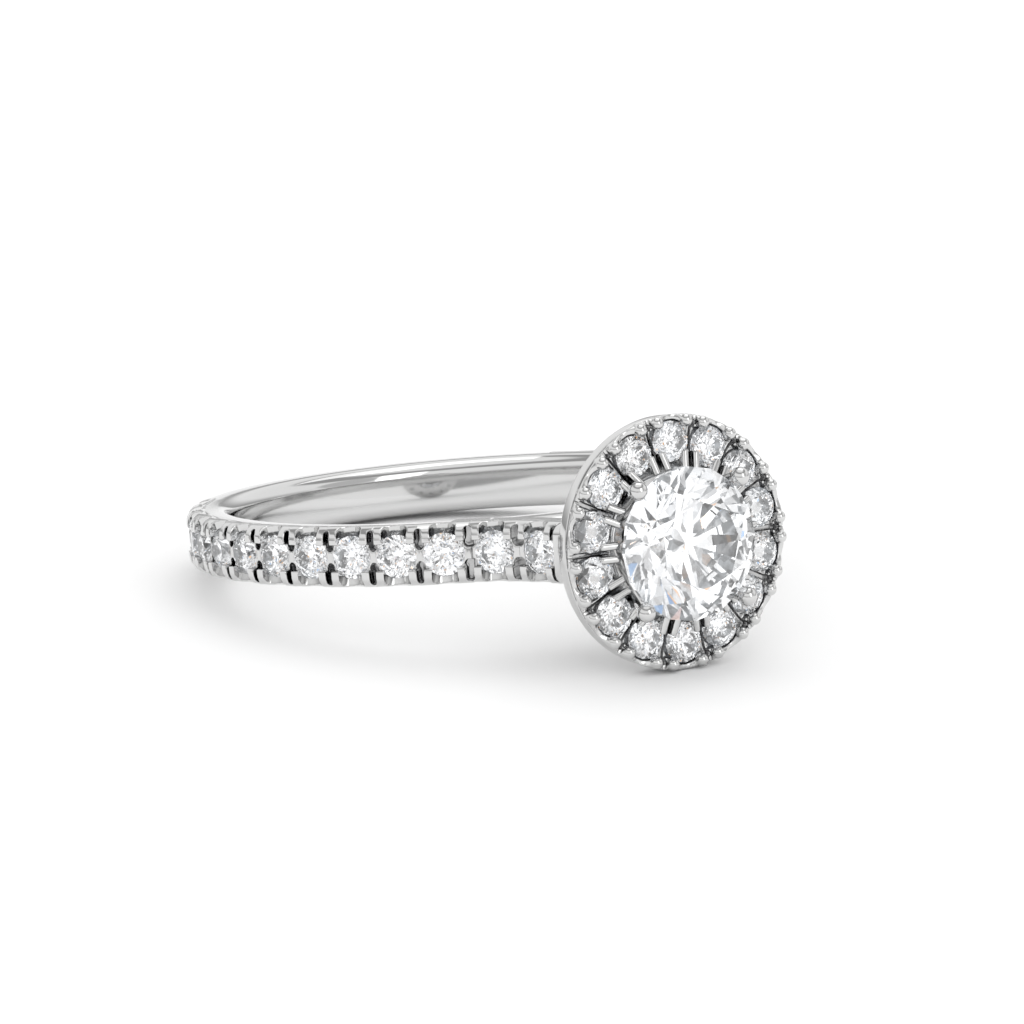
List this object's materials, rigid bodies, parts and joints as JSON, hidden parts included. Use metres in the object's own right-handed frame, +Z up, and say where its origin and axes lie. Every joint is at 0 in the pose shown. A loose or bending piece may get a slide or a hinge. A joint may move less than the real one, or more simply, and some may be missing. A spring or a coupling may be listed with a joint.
{
  "type": "halo ring",
  "caption": "Finger ring with a round brilliant centre stone in claws, a halo of small brilliants, and stone rows that sweep up the shank to the head.",
  "frame": {"origin": "middle of the ring's bounding box in plan, on the surface that the ring lies on", "axes": "+X is horizontal and points from the finger hole towards the head, +Z is up from the surface, and Y = 0 is the plane of symmetry. The finger axis is tipped 8.07 degrees from +Z towards -X, because the ring rests on its halo and on the far edge of its shank."},
  "size_m": [0.0244, 0.0204, 0.0082],
  "materials": {
    "white_metal": "high polish white gold",
    "centre_gem": "cut and polished diamond",
    "small_gem": "cut and polished diamond"
  },
  "bodies": {
    "root": {"ring_metal": "white_metal", "centre_stone": "centre_gem", "halo_stone_01": "small_gem", "halo_stone_02": "small_gem", "halo_stone_03": "small_gem", "halo_stone_04": "small_gem", "halo_stone_05": "small_gem", "halo_stone_06": "small_gem", "halo_stone_07": "small_gem", "halo_stone_08": "small_gem", "halo_stone_09": "small_gem", "halo_stone_10": "small_gem", "halo_stone_11": "small_gem", "halo_stone_12": "small_gem", "halo_stone_13": "small_gem", "halo_stone_14": "small_gem", "shank_stone_01": "small_gem", "shank_stone_02": "small_gem", "shank_stone_03": "small_gem", "shank_stone_04": "small_gem", "shank_stone_05": "small_gem", "shank_stone_06": "small_gem", "shank_stone_07": "small_gem", "shank_stone_08": "small_gem", "shank_stone_09": "small_gem", "shank_stone_10": "small_gem", "shank_stone_11": "small_gem", "shank_stone_12": "small_gem", "shank_stone_13": "small_gem", "shank_stone_14": "small_gem", "shank_stone_15": "small_gem", "shank_stone_16": "small_gem", "shank_stone_17": "small_gem", "shank_stone_18": "small_gem", "shank_stone_19": "small_gem", "shank_stone_20": "small_gem", "shank_stone_21": "small_gem", "shank_stone_22": "small_gem", "shank_stone_23": "small_gem", "shank_stone_24": "small_gem", "shank_stone_25": "small_gem", "shank_stone_26": "small_gem"}
  },
  "joints": []
}
